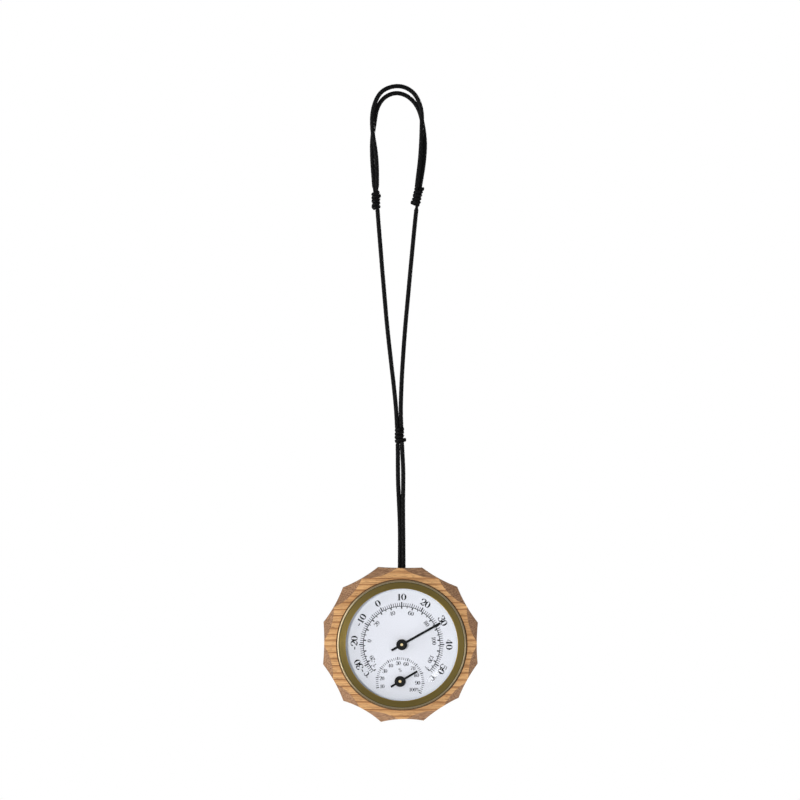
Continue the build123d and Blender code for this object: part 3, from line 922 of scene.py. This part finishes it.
def addWords(shape, base, words, tall, x, y, widen=1.0):
    # words centred on (x, y), in the base's own flat frame
    wide = sum(figures[sign][0] for sign in words) * tall * widen
    pen = x - wide / 2
    for sign in words:
        size = Matrix.Diagonal((tall * widen, tall, inkHeight / strokeHeight, 1))
        fit = Matrix.Translation((pen, y - tall / 2, 0)) @ size
        mesh = figureMesh(sign).copy()
        mesh.transform(base @ fit)
        shape.from_mesh(mesh)
        bpy.data.meshes.remove(mesh)
        pen += figures[sign][0] * tall * widen


def addTick(shape, base, degrees, inner, outer, width):
    middle = Matrix.Translation((0, (inner + outer) / 2, inkHeight / 2))
    size = Matrix.Diagonal((width, outer - inner, inkHeight, 1))
    bmesh.ops.create_cube(shape, size=1.0, matrix=base @ clockwise(degrees) @ middle @ size)


def addArc(shape, base, reach, width, start, end, count):
    # a thin bar's end, swept round the middle
    near, far = reach - width / 2, reach + width / 2
    corners = ((near, 0), (far, 0), (far, inkHeight), (near, inkHeight))
    begin = base @ clockwise(start)
    verts = [shape.verts.new(begin @ Vector((0, y, z))) for y, z in corners]
    section = shape.faces.new(verts)
    axis = base.to_3x3() @ Vector((0, 0, 1))
    bmesh.ops.spin(
        shape, geom=verts + section.edges[:] + [section], cent=base.translation, axis=axis,
        angle=-math.radians(end - start), steps=count, use_merge=False,
    )


def finishPrint(shape, name, material):
    bmesh.ops.recalc_face_normals(shape, faces=shape.faces)
    mesh = bpy.data.meshes.new(name)
    shape.to_mesh(mesh)
    shape.free()
    piece = linkPiece(name, mesh, finished[material], smooth=False)
    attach(piece, "insert")


# a tick is (its free end, width), figures are (height, reach, widening), a unit is (x, z, turn)
celsius = {
    "perDegree": 3.0, "top": 10, "low": -34, "high": 54,
    "arc": 19.15, "arcWidth": 0.38, "arcSteps": 132,
    "tenTick": (21.3, 0.58), "fiveTick": (21.1, 0.38), "tick": (20.85, 0.30),
    "figures": (3.2, 23.75, 1.26),
    "nudge": {-30: 3.2, -20: 2.4, -10: 1.2, 50: 1.2},
    "units": ((-17.3, -14.8, -130), (15.5, -16.5, 136)),
    "unitTall": 2.5, "unitWiden": 1.05,
}
fahrenheit = {
    "perDegree": 5 / 3, "top": 50, "low": -30, "high": 130,
    "tenTick": (17.9, 0.62), "tick": (18.25, 0.42),
    "figures": (2.05, 16.25, 1.06),
    "units": ((-13.5, -10.3, -130), (12.3, -11.5, 136)),
    "unitTall": 1.8, "unitWiden": 1.0,
}
humidity = {
    "perTen": 25.0, "middle": 50, "middleAt": -5.5, "low": 10, "high": 100,
    "ticksFrom": 10.8, "tenTick": (12.3, 0.46), "tick": (12.05, 0.28),
    "tall": 1.85, "widen": 1.05, "reach": 9.2, "reachFrom80": 8.85, "reachAt100": 8.3,
    "signAt": (0.1, 5.7),
}


def turnFor(scale, value):
    return (value - scale["top"]) * scale["perDegree"]


def humidityTurn(value):
    return humidity["middleAt"] + (value - humidity["middle"]) / 10 * humidity["perTen"]


def addUnits(shape, base, scale, words):
    for x, z, turn in scale["units"]:
        turned = base @ Matrix.Translation((x * mm, z * mm, 0)) @ clockwise(turn)
        addWords(shape, turned, words, scale["unitTall"] * mm, 0, 0, scale["unitWiden"])


def printCelsius():
    shape = bmesh.new()
    base = onDial(dialAxis)
    for value in range(celsius["low"], celsius["high"] + 1):
        kind = "tenTick" if value % 10 == 0 else "fiveTick" if value % 5 == 0 else "tick"
        outer, width = celsius[kind]
        addTick(shape, base, turnFor(celsius, value), celsius["arc"] * mm, outer * mm, width * mm)
    tall, reach, widen = celsius["figures"]
    for value in range(-30, 51, 10):
        nudge = celsius["nudge"].get(value, 0)
        turned = base @ clockwise(turnFor(celsius, value) + nudge)
        addWords(shape, turned, str(value), tall * mm, 0, reach * mm, widen)
    addUnits(shape, base, celsius, "oC")
    finishPrint(shape, "print_celsius", "inkBlack")


def printArc():
    shape = bmesh.new()
    start, end = turnFor(celsius, celsius["low"]), turnFor(celsius, celsius["high"])
    base = onDial(dialAxis)
    addArc(shape, base, celsius["arc"] * mm, celsius["arcWidth"] * mm, start, end, celsius["arcSteps"])
    finishPrint(shape, "print_arc", "inkGrey")


def printFahrenheit():
    shape = bmesh.new()
    base = onDial(dialAxis)
    for value in range(fahrenheit["low"], fahrenheit["high"] + 1, 5):
        inner, width = fahrenheit["tenTick" if value % 10 == 0 else "tick"]
        addTick(shape, base, turnFor(fahrenheit, value), inner * mm, celsius["arc"] * mm, width * mm)
    finishPrint(shape, "print_fahrenheit_ticks", "inkBlack")
    shape = bmesh.new()
    tall, reach, widen = fahrenheit["figures"]
    for value in range(-20, 121, 20):
        turned = base @ clockwise(turnFor(fahrenheit, value))
        addWords(shape, turned, str(value), tall * mm, 0, reach * mm, widen)
    addUnits(shape, base, fahrenheit, "oF")
    finishPrint(shape, "print_fahrenheit_figures", "inkGrey")


def printHumidity():
    shape = bmesh.new()
    base = onDial(humidityAxis)
    for value in range(humidity["low"], humidity["high"] + 1, 2):
        outer, width = humidity["tenTick" if value % 10 == 0 else "tick"]
        addTick(shape, base, humidityTurn(value), humidity["ticksFrom"] * mm, outer * mm, width * mm)
    tall, widen = humidity["tall"] * mm, humidity["widen"]
    for value in range(humidity["low"], humidity["high"] + 1, 10):
        words = "100%" if value == 100 else str(value)
        reach = humidity["reachAt100" if value == 100 else "reachFrom80" if value >= 80 else "reach"]
        spot = clockwise(humidityTurn(value)) @ Vector((0, reach * mm, 0))
        addWords(shape, base, words, tall, spot.x, spot.y, widen)
    across, up = humidity["signAt"]
    addWords(shape, base, "%", tall, across * mm, up * mm)
    finishPrint(shape, "print_humidity", "inkBlack")


printCelsius()
printArc()
printFahrenheit()
printHumidity()
print("dial is printed")
